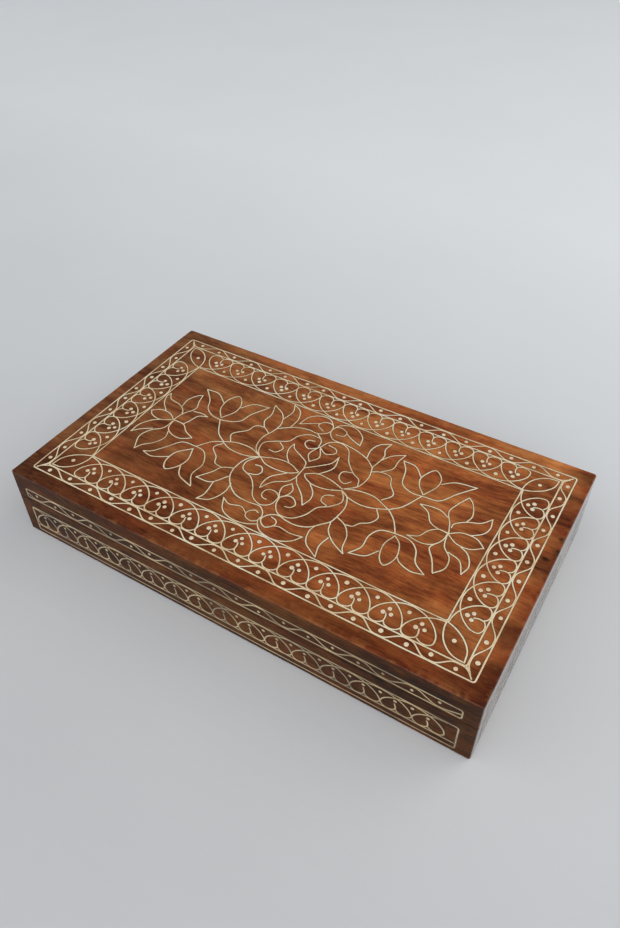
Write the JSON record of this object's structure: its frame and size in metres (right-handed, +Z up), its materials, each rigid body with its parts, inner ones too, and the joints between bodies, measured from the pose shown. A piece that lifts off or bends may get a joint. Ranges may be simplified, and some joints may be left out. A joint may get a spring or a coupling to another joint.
{
  "type": "inlaid wooden box",
  "caption": "Shallow rectangular hardwood keepsake box with a hinged lid, inlaid with brass wire in a floral medallion, heart arcades and wavy borders.",
  "frame": {"origin": "centre of the wooden case on the surface it stands on", "axes": "+X along the box, +Y towards the hinged long side, +Z up"},
  "size_m": [0.305, 0.1824, 0.051],
  "materials": {
    "lid_wood": "polished reddish brown hardwood, grain along the length",
    "side_wood": "polished dark brown hardwood, grain along each side",
    "base_wood": "plain sanded hardwood",
    "brass_wire": "pale brass, filed flush and lightly polished",
    "hinge_brass": "satin brass with slight tarnish",
    "felt": "dark red felt"
  },
  "bodies": {
    "case": {"base_board": "base_wood", "base_lining": "felt", "case_wall_back": "side_wood", "case_wall_front": "side_wood", "case_wall_left": "side_wood", "case_wall_right": "side_wood", "hinge_left_case_leaf": "hinge_brass", "hinge_left_case_screw_1": "hinge_brass", "hinge_left_case_screw_2": "hinge_brass", "hinge_left_pin": "hinge_brass", "hinge_right_case_leaf": "hinge_brass", "hinge_right_case_screw_1": "hinge_brass", "hinge_right_case_screw_2": "hinge_brass", "hinge_right_pin": "hinge_brass", "inlay_case_hearts_back": "brass_wire", "inlay_case_hearts_front": "brass_wire", "inlay_case_hearts_left": "brass_wire", "inlay_case_hearts_right": "brass_wire", "inlay_case_line_back": "brass_wire", "inlay_case_line_front": "brass_wire", "inlay_case_line_left": "brass_wire", "inlay_case_line_right": "brass_wire"},
    "lid": {"hinge_left_lid_leaf": "hinge_brass", "hinge_left_lid_screw_1": "hinge_brass", "hinge_left_lid_screw_2": "hinge_brass", "hinge_right_lid_leaf": "hinge_brass", "hinge_right_lid_screw_1": "hinge_brass", "hinge_right_lid_screw_2": "hinge_brass", "inlay_arcade_back": "brass_wire", "inlay_arcade_front": "brass_wire", "inlay_arcade_left": "brass_wire", "inlay_arcade_right": "brass_wire", "inlay_inner_line": "brass_wire", "inlay_leaf_back_left": "brass_wire", "inlay_leaf_back_right": "brass_wire", "inlay_leaf_front_left": "brass_wire", "inlay_leaf_front_right": "brass_wire", "inlay_lid_line_back": "brass_wire", "inlay_lid_line_front": "brass_wire", "inlay_lid_line_left": "brass_wire", "inlay_lid_line_right": "brass_wire", "inlay_lid_wave_back": "brass_wire", "inlay_lid_wave_front": "brass_wire", "inlay_lid_wave_left": "brass_wire", "inlay_lid_wave_right": "brass_wire", "inlay_medallion": "brass_wire", "inlay_outer_line": "brass_wire", "inlay_second_line": "brass_wire", "inlay_star_left": "brass_wire", "inlay_star_right": "brass_wire", "inlay_wave": "brass_wire", "lid_board": "lid_wood", "lid_lining": "felt", "lid_rail_back": "side_wood", "lid_rail_front": "side_wood", "lid_rail_left": "side_wood", "lid_rail_right": "side_wood"}
  },
  "joints": [
    {"name": "lid_hinge", "type": "hinge", "parent": "case", "child": "lid", "pos_m": [0, 0.0912, 0.031], "axis": [-1, 0, 0], "range_deg": [0, 100]}
  ]
}
